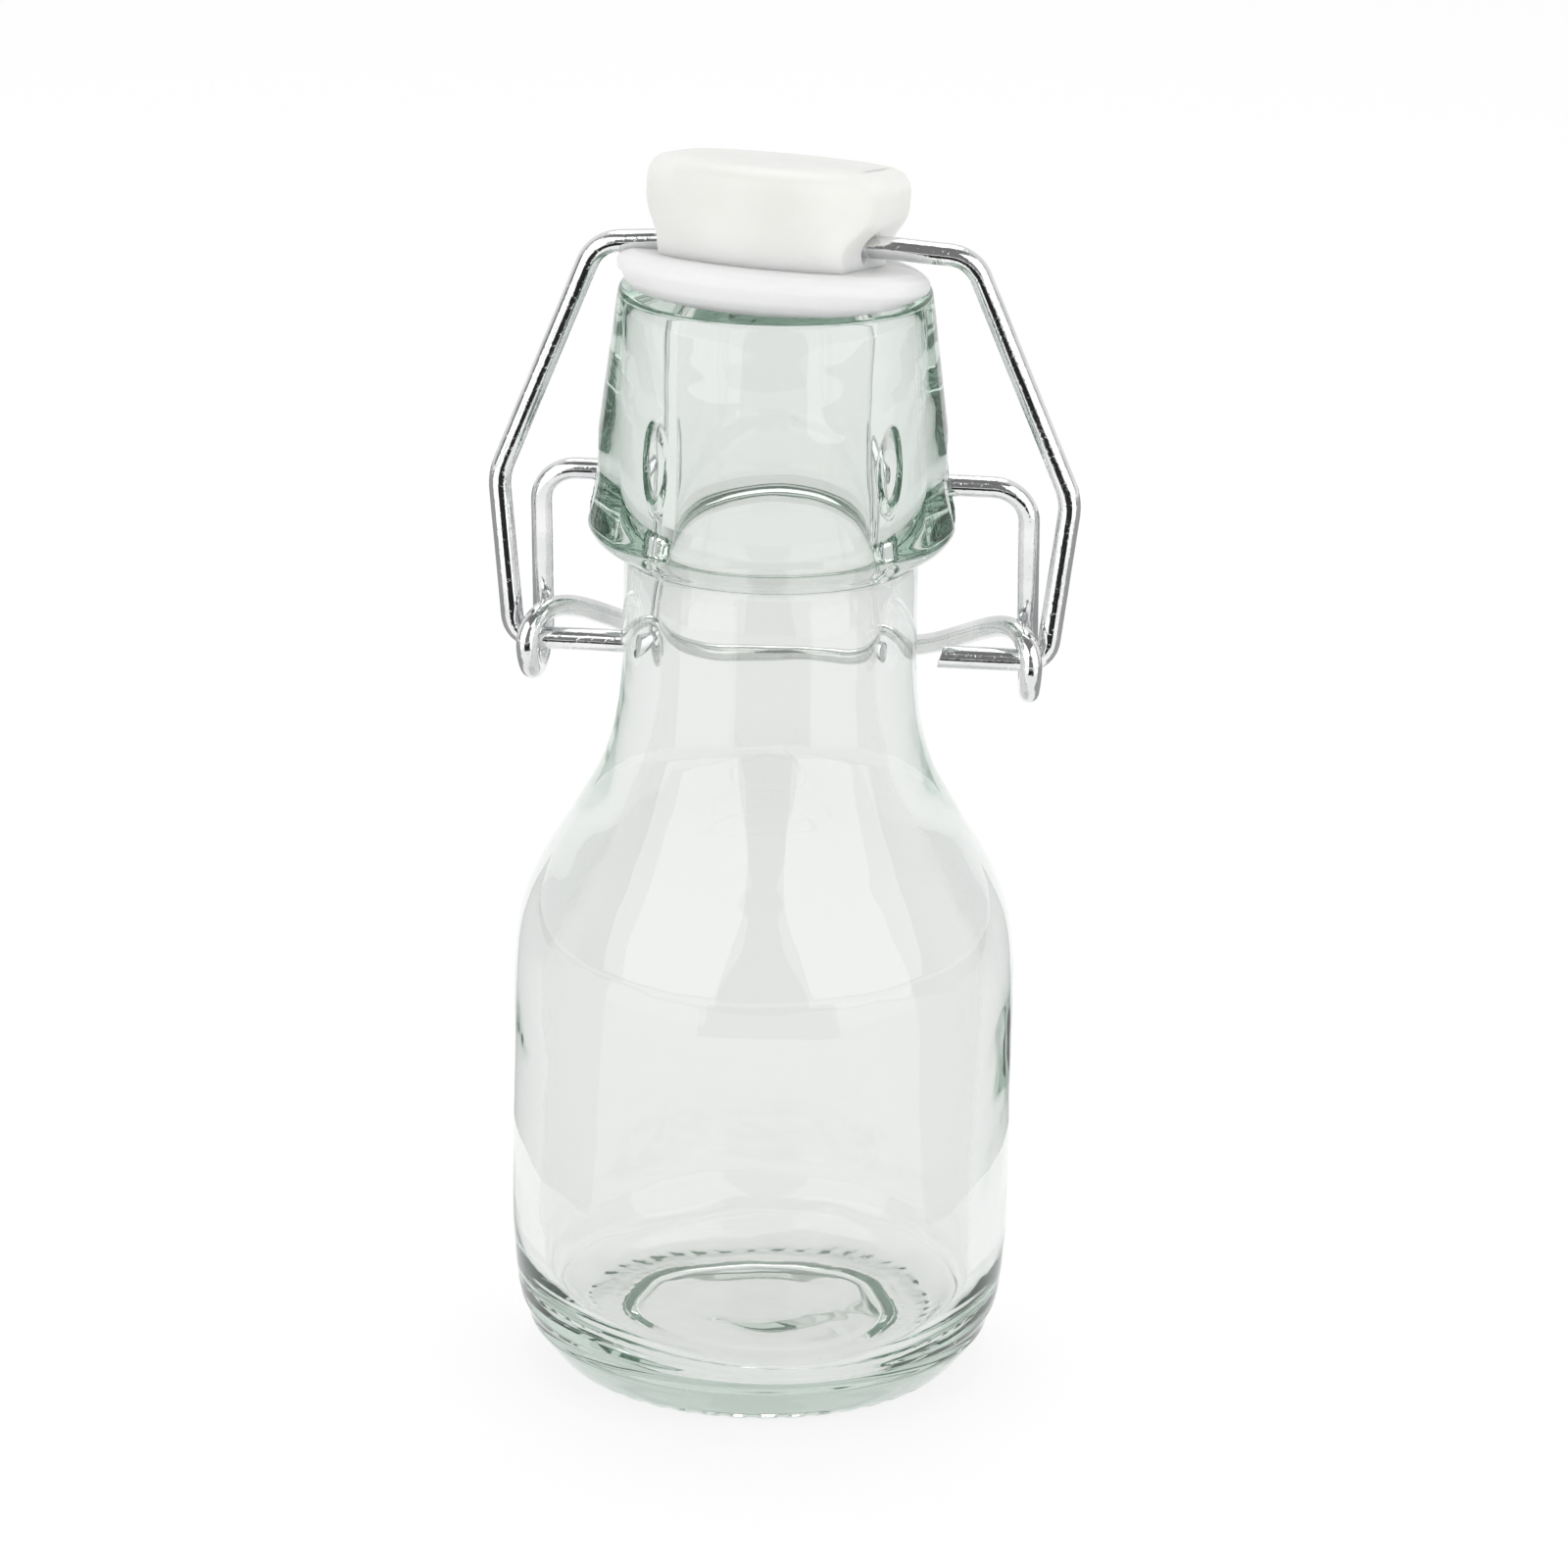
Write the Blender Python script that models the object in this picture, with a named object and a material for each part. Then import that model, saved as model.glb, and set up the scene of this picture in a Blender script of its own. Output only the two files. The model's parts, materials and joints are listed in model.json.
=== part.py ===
"""Miniature swing-top glass bottle.

A turned glass bottle carries a two-wire toggle closure. The lever wire pivots in two
pockets of the finish and ends in two coiled eyes. The bail wire hangs in the eyes and
runs through the plastic stopper, which presses a soft washer onto the lip.

Frame: metres, +Z up, origin at the centre of the base on the standing surface, X along
the pivots, the lever's cross bar behind the neck at +Y. All dimensions are in millimetres.
"""
from math import asin, atan, cos, pi, radians, sin, tan

import bmesh
import bpy
from mathutils import Matrix, Vector

MM = 0.001

# Glass: body, neck, finish (the skirt with the lip) and base
BODY_R = 21.0
NECK_R = 12.2
LIP_R = 13.3
SKIRT_R = 15.3
LIP_Z = 94.5
BORE_R = 8.2
BEARING_R = 16.3
GLASS_SEGMENTS = 48
CLOSURE_SEGMENTS = 36

# Toggle closure: heights of its three parallel pivots
PIVOT_Z = 77.1
EYE_Z = 62.3
SWIVEL_Z = 97.4

# Lever wire
LEVER_WIRE_R = 0.9
LEVER_END_X = 12.6
LEG_X = 20.6
LEG_BEND_R = 3.0
EYE_R = 2.6
EYE_FRONT_X = 21.0
EYE_TOP_X = 19.4
CROSS_BAR_Y = 13.9
CROSS_BAR_Z = 58.0

# Pockets in the finish for the lever's ends: half sizes of an ellipsoid
POCKET_X = 15.4
POCKET_HALF = (3.6, 2.9, 3.3)

# Bail wire
BAIL_WIRE_R = 0.95
BAIL_TOP_X = 15.7
BAIL_WIDE_X = 24.0
BAIL_WIDE_Z = 74.7
BAIL_FOOT_X = 22.4
BAIL_TIP_X = 13.0

# Stopper and washer
HEAD_R = 11.35
HEAD_TOP_Z = 103.1
HEAD_BASE_Z = 96.05
HEAD_BASE_R = 10.2
CROSS_HOLE_R = 1.05
FLAT_X = 8.75
FLAT_SLOPE = 0.28
FLAT_CUTTER = (24.0, 48.0, 24.0)
FLAT_CUTTER_DROP = 0.4
STEM_R = 5.0
PLUG_R = 7.0
PLUG_TOP_Z = 94.55
PLUG_BOTTOM_Z = 90.3
WASHER_R = 12.85
WASHER_HOLE_R = 5.3
WASHER_BOTTOM_Z = 94.8
WASHER_TOP_Z = 95.9


def clear_scene():
    for old in list(bpy.data.objects):
        bpy.data.objects.remove(old, do_unlink=True)


def material(name, color, roughness, metallic=0.0, transmission=0.0):
    made = bpy.data.materials.new(name)
    made.use_nodes = True
    shader = made.node_tree.nodes["Principled BSDF"]
    shader.inputs["Base Color"].default_value = (*color, 1.0)
    shader.inputs["Roughness"].default_value = roughness
    shader.inputs["Metallic"].default_value = metallic
    shader.inputs["Transmission Weight"].default_value = transmission
    made.diffuse_color = (*color, 1.0)
    return made


def link(obj):
    bpy.context.scene.collection.objects.link(obj)
    return obj


def arc(centre, radius, start, end, steps):
    """Points on a circle in the (r, z) plane, angles in degrees."""
    angles = [radians(start + (end - start) * i / steps) for i in range(steps + 1)]
    return [(centre[0] + radius * cos(a), centre[1] + radius * sin(a)) for a in angles]


def smooth(points, steps):
    """A Catmull-Rom curve through points, with the given steps between each pair."""
    padded = [points[0], *points, points[-1]]
    curve = []
    for i in range(1, len(padded) - 2):
        p0, p1, p2, p3 = (Vector(p) for p in padded[i - 1:i + 3])
        for step in range(steps):
            t = step / steps
            bend = (2 * p0 - 5 * p1 + 4 * p2 - p3) * t * t + (3 * p1 - p0 - 3 * p2 + p3) * t ** 3
            curve.append(tuple(0.5 * (2 * p1 + (p2 - p0) * t + bend)))
    curve.append(tuple(points[-1]))
    return curve


def turned(name, profile, segments, surface):
    """A solid of revolution about Z, from an (r, z) outline that ends on the axis or closes."""
    mesh = bpy.data.meshes.new(name)
    bm = bmesh.new()
    verts = [bm.verts.new((r * MM, 0.0, z * MM)) for r, z in profile]
    edges = [bm.edges.new(pair) for pair in zip(verts, verts[1:])]
    if profile[0][0] > 0:
        edges.append(bm.edges.new((verts[-1], verts[0])))
    bmesh.ops.spin(bm, geom=verts + edges, axis=(0, 0, 1), cent=(0, 0, 0), angle=2 * pi,
                   steps=segments, use_merge=True)
    bmesh.ops.remove_doubles(bm, verts=bm.verts, dist=1e-6)
    bmesh.ops.recalc_face_normals(bm, faces=bm.faces)
    bm.to_mesh(mesh)
    bm.free()
    mesh.shade_smooth()
    mesh.set_sharp_from_angle(angle=radians(35))
    mesh.materials.append(surface)
    return link(bpy.data.objects.new(name, mesh))


def cutter(name, mesh_maker, placing):
    """A hidden tool mesh for a Boolean cut."""
    mesh = bpy.data.meshes.new(name)
    bm = bmesh.new()
    mesh_maker(bm)
    bmesh.ops.transform(bm, matrix=placing, verts=bm.verts)
    bmesh.ops.recalc_face_normals(bm, faces=bm.faces)
    bm.to_mesh(mesh)
    bm.free()
    tool = link(bpy.data.objects.new(name, mesh))
    tool.hide_render = True
    tool.display_type = "WIRE"
    return tool


def cut(target, tool):
    boolean = target.modifiers.new(tool.name, "BOOLEAN")
    boolean.operation = "DIFFERENCE"
    boolean.solver = "EXACT"
    boolean.object = tool


def wire(name, points, radius, surface):
    """A round wire along points (millimetres), with filled ends."""
    curve = bpy.data.curves.new(name, "CURVE")
    curve.dimensions = "3D"
    curve.bevel_depth = radius * MM
    curve.bevel_resolution = 2
    curve.use_fill_caps = True
    spline = curve.splines.new("POLY")
    spline.points.add(len(points) - 1)
    for point, place in zip(spline.points, points):
        point.co = (*(MM * Vector(place)), 1.0)
    spline.use_smooth = True
    curve.materials.append(surface)
    return link(bpy.data.objects.new(name, curve))


def rounded_path(corners, radii, steps):
    """A polyline whose inner corners are replaced by arcs of the given radii."""
    corners = [Vector(c) for c in corners]
    path = [corners[0]]
    for before, corner, after, radius in zip(corners, corners[1:], corners[2:], radii):
        back = (before - corner).normalized()
        ahead = (after - corner).normalized()
        half = back.angle(ahead) / 2
        start = corner + back * radius / tan(half)
        centre = corner + (back + ahead).normalized() * radius / sin(half)
        arm = start - centre
        axis = arm.cross(corner + ahead * radius / tan(half) - centre)
        turn = pi - 2 * half
        path += [centre + Matrix.Rotation(turn * i / steps, 3, axis) @ arm for i in range(steps + 1)]
    path.append(corners[-1])
    return path


def mirrored(points):
    return [Vector((-p[0], p[1], p[2])) for p in reversed(points)]


def outer_glass():
    """Outside of the bottle from the lip's inner edge down to the base's centre."""
    lip = [(10.0, LIP_Z), (11.3, LIP_Z), *arc((LIP_R - 0.9, 93.2), 0.9, 62, 4, 3)]
    hem = arc((SKIRT_R - 2.4, 73.9), 2.4, 4, -80, 5)
    neck = [(NECK_R + 0.6, 71.25), (NECK_R + 0.1, 70.8), (NECK_R, 70.0), (NECK_R, 66.0)]
    shoulder = smooth([(NECK_R, 61.5), (12.6, 57.0), (13.75, 52.5), (16.3, 47.8), (18.85, 43.5),
                       (20.35, 39.8), (20.9, 36.2), (BODY_R, 32.5)], 2)
    heel = [(BODY_R, 22.0), *smooth([(BODY_R, 12.3), (20.6, 7.2), (20.1, 4.8)], 2)]
    rim = [(19.5, 3.3), (18.5, 2.0), (17.5, 0.75), (BEARING_R, 0.0)]
    punt = [(12.2, 0.0), (11.4, 0.5), (10.5, 1.6), (6.0, 2.0), (0.0, 2.2)]
    return lip + hem + neck + shoulder + heel + rim + punt


def inner_glass():
    """Inside of the bottle from the floor's centre up to the mouth."""
    floor = [(0.0, 5.2), (6.0, 5.0), (11.0, 4.5)]
    corner = [(14.4, 4.7), (16.4, 5.8), (17.4, 7.2), (18.0, 9.4), (18.2, 13.0)]
    wall = [(18.2, 22.0), (18.2, 31.5)]
    shoulder = [(18.0, 35.6), (17.2, 39.2), (15.4, 42.7), (12.9, 46.6), (11.1, 50.5), (9.9, 54.5),
                (9.3, 58.5), (9.1, 62.5)]
    bore = [(9.0, 66.0), (8.5, 70.0), (BORE_R, 74.0)]
    mouth = [(BORE_R, 84.0), *arc((BORE_R + 1.8, LIP_Z - 1.8), 1.8, 180, 90, 3)]
    return floor + corner + wall + shoulder + bore + mouth[:-1]


def glass_bottle(surface):
    outline = outer_glass()[::-1] + inner_glass()[::-1]
    bottle = turned("glass_bottle", outline, GLASS_SEGMENTS, surface)
    for side in (-1, 1):
        placing = Matrix.Translation((side * POCKET_X * MM, 0, PIVOT_Z * MM))
        placing @= Matrix.Diagonal((*(half * MM for half in POCKET_HALF), 1.0))
        pocket = cutter("pocket_cutter", lambda bm: bmesh.ops.create_uvsphere(
            bm, u_segments=20, v_segments=12, radius=1.0), placing)
        cut(bottle, pocket)
    return bottle


def eye_points(steps=16):
    """The lever's coiled eye at +X, from its top over the front and round to the leg."""
    end = 1.5 * pi + asin(EYE_R / (PIVOT_Z - EYE_Z))
    points = []
    for i in range(steps + 1):
        a = end * i / steps
        if a < pi / 2:
            x = EYE_TOP_X + (EYE_FRONT_X - EYE_TOP_X) * sin(a)
        else:
            x = EYE_FRONT_X + (LEG_X - EYE_FRONT_X) * (a - pi / 2) / (end - pi / 2)
        points.append(Vector((x, -EYE_R * sin(a), EYE_Z + EYE_R * cos(a))))
    return points


def cross_bar_points(steps=9):
    """Half of the bar behind the neck, from its middle to the top of the eye at +X."""
    handles = [Vector((0.0, CROSS_BAR_Y)), Vector((8.5, CROSS_BAR_Y)),
               Vector((15.2, 6.8)), Vector((EYE_TOP_X, 0.0))]
    eye_top = EYE_Z + EYE_R
    points = []
    for i in range(steps):
        t = i / steps
        weights = ((1 - t) ** 3, 3 * t * (1 - t) ** 2, 3 * t * t * (1 - t), t ** 3)
        plan = sum((w * h for w, h in zip(weights, handles)), Vector((0.0, 0.0)))
        back = plan.y / CROSS_BAR_Y
        fall = (eye_top - CROSS_BAR_Z) * back * back * (3 - 2 * back)
        points.append(Vector((plan.x, plan.y, eye_top - fall)))
    return points


def lever_wire(surface):
    eye = eye_points()
    leg = rounded_path([eye[-1], (LEG_X, 0.0, PIVOT_Z), (LEVER_END_X, 0.0, PIVOT_Z)],
                       [LEG_BEND_R], 5)
    half = cross_bar_points() + eye[:-1] + leg
    return wire("lever_wire", mirrored(half)[:-1] + half, LEVER_WIRE_R, surface)


def bail_wire(surface):
    corners = [(0.0, 0.0, SWIVEL_Z), (BAIL_TOP_X, 0.0, SWIVEL_Z), (BAIL_WIDE_X, 0.0, BAIL_WIDE_Z),
               (BAIL_FOOT_X, 0.0, EYE_Z), (BAIL_TIP_X, 0.0, EYE_Z)]
    half = rounded_path(corners, [3.0, 5.0, 2.0], 5)
    return wire("bail_wire", mirrored(half)[:-1] + half, BAIL_WIRE_R, surface)


def stopper_profile():
    """Outline of the stopper from the centre of the crown down to the centre of the plug."""
    crown = [(0.0, HEAD_TOP_Z), (5.0, HEAD_TOP_Z - 0.1)]
    crown += arc((HEAD_R - 2.5, HEAD_TOP_Z - 2.75), 2.5, 80, 0, 6)
    side = [(11.3, 99.2), (10.95, 97.6), (HEAD_BASE_R, HEAD_BASE_Z)]
    stem = [(STEM_R, HEAD_BASE_Z), (STEM_R, PLUG_TOP_Z), (PLUG_R - 0.5, PLUG_TOP_Z)]
    plug = [(PLUG_R, PLUG_TOP_Z - 0.5), (6.7, 92.4)]
    plug += arc((5.3, PLUG_BOTTOM_Z + 1.0), 1.0, 0, -90, 3)
    return crown + side + stem + plug + [(0.0, PLUG_BOTTOM_Z)]


def cross_hole_cutter():
    placing = Matrix.Translation((0, 0, SWIVEL_Z * MM)) @ Matrix.Rotation(pi / 2, 4, "Y")
    radius = CROSS_HOLE_R * MM
    return cutter("cross_hole_cutter", lambda bm: bmesh.ops.create_cone(
        bm, cap_ends=True, segments=20, radius1=radius, radius2=radius,
        depth=4 * HEAD_R * MM), placing)


def flat_cutter(side):
    """A leaning block, whose inner face makes the head's slanted flat on one side."""
    wide, deep, tall = FLAT_CUTTER
    placing = Matrix.Translation((side * FLAT_X * MM, 0, HEAD_BASE_Z * MM))
    placing @= Matrix.Rotation(side * atan(FLAT_SLOPE), 4, "Y")
    placing @= Matrix.Translation((side * wide / 2 * MM, 0, (tall / 2 - FLAT_CUTTER_DROP) * MM))
    placing @= Matrix.Diagonal((wide * MM, deep * MM, tall * MM, 1.0))
    return cutter("flat_cutter", lambda bm: bmesh.ops.create_cube(bm, size=1.0), placing)


def stopper(surface):
    """Mushroom head with slanted side flats, a cross hole for the bail and a plug below."""
    body = turned("stopper", stopper_profile(), CLOSURE_SEGMENTS, surface)
    cut(body, cross_hole_cutter())
    for side in (-1, 1):
        cut(body, flat_cutter(side))
    return body


def sealing_washer(surface):
    edge = arc((WASHER_R - 0.5, WASHER_BOTTOM_Z + 0.5), 0.5, -90, 0, 3)
    outline = [(WASHER_HOLE_R, WASHER_BOTTOM_Z), *edge, (WASHER_R - 0.35, WASHER_TOP_Z),
               (WASHER_HOLE_R, WASHER_TOP_Z)]
    return turned("sealing_washer", outline[::-1], CLOSURE_SEGMENTS, surface)


def pivot(name, height):
    """An empty on one of the closure's pivot axes."""
    empty = link(bpy.data.objects.new(name, None))
    empty.location = (0.0, 0.0, height * MM)
    empty.empty_display_size = 0.01
    return empty


def hang(child, parent):
    """Parents child without moving it."""
    bpy.context.view_layer.update()
    child.parent = parent
    child.matrix_parent_inverse = parent.matrix_world.inverted()


def build():
    clear_scene()
    glass = material("clear_glass", (0.86, 0.93, 0.91), 0.03, transmission=1.0)
    steel = material("plated_wire", (0.72, 0.73, 0.74), 0.18, metallic=1.0)
    plastic = material("white_plastic", (0.90, 0.90, 0.87), 0.35)
    silicone = material("clear_silicone", (0.84, 0.88, 0.87), 0.45)

    glass_bottle(glass)
    lever_pivot = pivot("lever_pivot", PIVOT_Z)
    bail_pivot = pivot("bail_pivot", EYE_Z)
    stopper_swivel = pivot("stopper_swivel", SWIVEL_Z)
    hang(bail_pivot, lever_pivot)
    hang(stopper_swivel, bail_pivot)
    hang(lever_wire(steel), lever_pivot)
    hang(bail_wire(steel), bail_pivot)
    hang(stopper(plastic), stopper_swivel)
    hang(sealing_washer(silicone), stopper_swivel)


build()
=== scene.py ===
"""Looks of the miniature swing-top glass bottle.

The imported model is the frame. Each CAD node is replaced by a finer piece in the same place:
the glass bottle, the lever wire, the bail wire, the plastic stopper and its soft washer.
Heights and radii are in millimetres, with +Z up and X along the closure's pivots.
"""

import json
from math import asin, ceil, cos, hypot, pi, radians, sin, tan

import bmesh
import bpy
import numpy as np
from mathutils import Matrix, Vector, noise

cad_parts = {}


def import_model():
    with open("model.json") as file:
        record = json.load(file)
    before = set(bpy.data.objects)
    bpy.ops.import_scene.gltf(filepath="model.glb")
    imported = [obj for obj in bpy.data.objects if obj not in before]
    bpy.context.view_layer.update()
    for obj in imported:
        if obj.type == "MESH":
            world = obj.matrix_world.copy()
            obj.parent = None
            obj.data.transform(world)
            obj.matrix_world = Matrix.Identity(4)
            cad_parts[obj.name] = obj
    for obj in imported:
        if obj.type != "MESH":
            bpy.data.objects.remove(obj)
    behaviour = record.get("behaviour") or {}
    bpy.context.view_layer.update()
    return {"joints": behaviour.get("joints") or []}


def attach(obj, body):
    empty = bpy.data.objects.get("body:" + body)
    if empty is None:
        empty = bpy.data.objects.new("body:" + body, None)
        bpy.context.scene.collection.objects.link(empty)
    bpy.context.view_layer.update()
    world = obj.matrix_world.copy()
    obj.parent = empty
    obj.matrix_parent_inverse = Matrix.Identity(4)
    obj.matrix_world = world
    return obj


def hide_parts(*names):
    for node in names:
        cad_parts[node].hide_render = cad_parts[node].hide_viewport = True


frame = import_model()

MM = 0.001
PIVOTS = {joint["name"]: joint["pos_m"][2] / MM for joint in frame["joints"]}
PIVOT_Z = PIVOTS["lever_pivot"]
EYE_Z = PIVOTS["bail_pivot"]
SWIVEL_Z = PIVOTS["stopper_swivel"]

# Glass
BODY_R = 21.0
NECK_R = 12.2
LIP_R = 12.95
LIP_ROUND = 0.55
SKIRT_R = 15.3
LIP_Z = 93.5
BORE_R = 8.2
BEARING_R = 16.3
GLASS_SEGMENTS = 288
ROW_SPACING = 1.1
FINE_ROW_SPACING = 0.32
POCKET_X = 15.4
POCKET_HALF = (3.6, 3.4, 4.1)
GLASS_TURN = radians(4.8)
NOTCHES = 44
NOTCH_DEPTH = 0.1
STIPPLE_DEPTH = 0.045
STIPPLE_SEED = 5
# (height, radius) halfway through the glass, which tells the inner wall from the outer one
WALL_MIDDLE = [(4.0, 17.0), (8.0, 19.1), (12.0, 19.6), (32.0, 19.6), (39.8, 18.7), (43.5, 17.0),
               (47.8, 14.2), (52.5, 12.2), (57.0, 11.0), (62.0, 10.7), (70.0, 10.4), (94.5, 10.6)]

# Wires
WIRE_SIDES = 24
SHEAR_UP = Vector((0.0, 0.35, 1.0)).normalized()
BURR_WIDTH = 0.86
BURR_LENGTH = 0.06
WIRE_SHIFT = 1.0

# Lever wire
LEVER_WIRE_R = 0.9
LEVER_END_X = 12.6
SHORT_END_X = 13.3
LEG_X = 20.25
LEG_BEND_R = 3.0
EYE_R = 2.6
EYE_FRONT_X = 21.0
EYE_TOP_X = 19.4
CROSS_BAR_Y = 13.9
CROSS_BAR_Z = 58.9

# Bail wire
BAIL_WIRE_R = 0.95
BAIL_TOP_X = (-15.85, 15.1)
BAIL_WIDE_X = (-23.75, 23.7)
BAIL_WIDE_Z = 76.3
BAIL_FOOT_X = (-22.4, 22.0)
BAIL_TIP_X = 13.0
BAIL_SAG = 0.5
BAR_DROP = 0.42

# Stopper and washer, before they lean
HEAD_R = 11.35
HEAD_TOP_Z = 103.75
HEAD_ROUND = 1.8
HEAD_BASE_Z = 95.5
HEAD_BASE_R = 10.2
CROSS_HOLE_R = 1.4
FLAT_X = (8.3, 7.6)
FLAT_RISE = (1.6, 1.85)
FLAT_CORNER = (1.4, 2.0)
FLAT_RISE_Z = 97.0
FLAT_RISE_HEIGHT = 3.5
CLOSURE_SEGMENTS = 192
STEM_R = 5.0
PLUG_R = 6.6
PLUG_TOP_Z = 93.45
PLUG_BOTTOM_Z = 91.2
WASHER_R = 12.85
WASHER_HOLE_R = 5.3
WASHER_BOTTOM_Z = 93.6
WASHER_TOP_Z = 95.62
WASHER_EDGE_R = 0.9
WASHER_LEAST = 0.3
FUNNEL_R = 6.75
FUNNEL_Z = 91.2
LEAN_BACK = radians(10.5)
TILT_RIGHT = radians(3.0)
SPIN = radians(-10.0)
LIP_GAP = 0.06

# Camera and studio, in metres
CAMERA_YAW = radians(5.7)
CAMERA_PITCH = radians(18.55)
CAMERA_ROLL = radians(1.039)
CAMERA_PLACE = (0.0014, -0.6153, 0.2569)
CAMERA_LENS = 178.4
SENSOR = 36.0
FLOOR_HALF = 4.0
GLASS_BOUNCES = 40
SOFTBOX_GLOW = 1.45
# Name, azimuth, elevation, distance, size and radiance; azimuths are from the camera's direction
SOFTBOXES = [("softbox_left", -50, 26, 0.8, (0.91, 0.8), SOFTBOX_GLOW),
             ("softbox_right", 50, 26, 0.8, (0.91, 0.8), SOFTBOX_GLOW),
             ("softbox_top", 180, 72, 0.8, (0.6, 0.6), 1.6)]
# Name, the two azimuths between which the sheet lies, its inner radius and its glow
PAINTED_REFLECTION_REACH = 0.85
# Painted reflections: sheets on the floor that only reflections see. The black one paints the dark
# streaks in the wires, and the four glowing ones paint bright reflections in the wires and the glass.
PAINTED_REFLECTIONS = [("mat_front", -28, 32, 0.15, 0.0),
        ("mat_left", -72, -25, 0.2, SOFTBOX_GLOW),
        ("mat_right", 30, 70, 0.2, SOFTBOX_GLOW),
        ("mat_far_left", -150, -72, 0.06, 0.35),
        ("mat_far_right", 70, 150, 0.06, 0.35)]


# ---------------------------------------------------------------- outlines and paths

def arc(centre, radius, start, end, steps):
    """Points on a circle in the (r, z) plane, angles in degrees."""
    angles = [radians(start + (end - start) * i / steps) for i in range(steps + 1)]
    return [(centre[0] + radius * cos(a), centre[1] + radius * sin(a)) for a in angles]


def smooth(points, steps=8):
    """A Catmull-Rom curve through points, with the given steps between each pair."""
    padded = [points[0], *points, points[-1]]
    curve = []
    for i in range(1, len(padded) - 2):
        p0, p1, p2, p3 = (Vector(p) for p in padded[i - 1:i + 3])
        for step in range(steps):
            t = step / steps
            bend = (2 * p0 - 5 * p1 + 4 * p2 - p3) * t * t + (3 * p1 - p0 - 3 * p2 + p3) * t ** 3
            curve.append(tuple(0.5 * (2 * p1 + (p2 - p0) * t + bend)))
    curve.append(tuple(points[-1]))
    return curve


def evenly(points, spacing):
    """Points at an even spacing along a polyline, with both ends kept."""
    points = np.array([tuple(p) for p in points])
    lengths = np.concatenate([[0], np.cumsum(np.linalg.norm(np.diff(points, axis=0), axis=1))])
    wanted = np.linspace(0, lengths[-1], int(ceil(lengths[-1] / spacing)) + 1)
    return np.stack([np.interp(wanted, lengths, points[:, k]) for k in range(points.shape[1])], axis=1)


def softened(points, width, spacing=0.05):
    """The outline with its corners rounded by a moving average of the given width."""
    dense = evenly(points, spacing)
    half = max(1, int(round(width / spacing / 2)))
    window = np.hanning(2 * half + 3)[1:-1]
    window /= window.sum()
    before = 2 * dense[0] - dense[half:0:-1]
    after = 2 * dense[-1] - dense[-2:-half - 2:-1]
    padded = np.concatenate([before, dense, after])
    return np.stack([np.convolve(padded[:, k], window, mode="valid") for k in range(2)], axis=1)


def thinned(points, turn=radians(4.5), longest=ROW_SPACING, shortest=0.12, fine=None):
    """Keeps the points that the outline's bends need, closer together where fine(point) says."""
    kept = [points[0]]
    last = points[0]
    heading = None
    for before, here in zip(points[:-1], points[1:]):
        step = here - before
        angle = np.arctan2(step[1], step[0])
        if heading is None:
            heading = angle
        bend = abs((angle - heading + pi) % (2 * pi) - pi)
        run = np.linalg.norm(here - last)
        limit = fine(here) if fine else longest
        if run >= shortest and (bend > turn or run >= min(limit, longest)):
            kept.append(here)
            last = here
            heading = angle
    if np.linalg.norm(kept[-1] - points[-1]) < shortest:
        kept.pop()
    kept.append(points[-1])
    return np.array(kept)


def soft_least(a, b, k):
    """The smaller of two values, with a blend of width k where they cross."""
    mix = np.clip(0.5 + 0.5 * (b - a) / k, 0, 1)
    return b + (a - b) * mix - k * mix * (1 - mix)


def bump(x, low, high, edge):
    """1 between low and high, falling smoothly to 0 over edge on each side."""
    rise = np.clip((x - low + edge) / edge, 0, 1)
    fall = np.clip((high + edge - x) / edge, 0, 1)
    both = np.minimum(rise, fall)
    return both * both * (3 - 2 * both)


def rounded_path(corners, radii, steps=14):
    """A polyline whose inner corners are replaced by arcs of the given radii."""
    corners = [Vector(c) for c in corners]
    path = [corners[0]]
    for before, corner, after, radius in zip(corners, corners[1:], corners[2:], radii):
        back = (before - corner).normalized()
        ahead = (after - corner).normalized()
        half = back.angle(ahead) / 2
        start = corner + back * radius / tan(half)
        centre = corner + (back + ahead).normalized() * radius / sin(half)
        arm = start - centre
        axis = arm.cross(corner + ahead * radius / tan(half) - centre)
        turn = pi - 2 * half
        path += [centre + Matrix.Rotation(turn * i / steps, 3, axis) @ arm for i in range(steps + 1)]
    path.append(corners[-1])
    return path


def mirrored(points):
    return [Vector((-p[0], p[1], p[2])) for p in reversed(points)]


# ---------------------------------------------------------------- mesh makers

def link(name, mesh, material):
    mesh.materials.append(material)
    made = bpy.data.objects.new(name, mesh)
    bpy.context.scene.collection.objects.link(made)
    return made


def solid(name, verts, faces):
    """A smooth closed mesh with its normals outward, from points in millimetres."""
    mesh = bpy.data.meshes.new(name)
    mesh.from_pydata((np.array(verts) * MM).tolist(), [], faces)
    bm = bmesh.new()
    bm.from_mesh(mesh)
    bmesh.ops.recalc_face_normals(bm, faces=bm.faces)
    bm.to_mesh(mesh)
    bm.free()
    mesh.shade_smooth()
    return mesh


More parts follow.
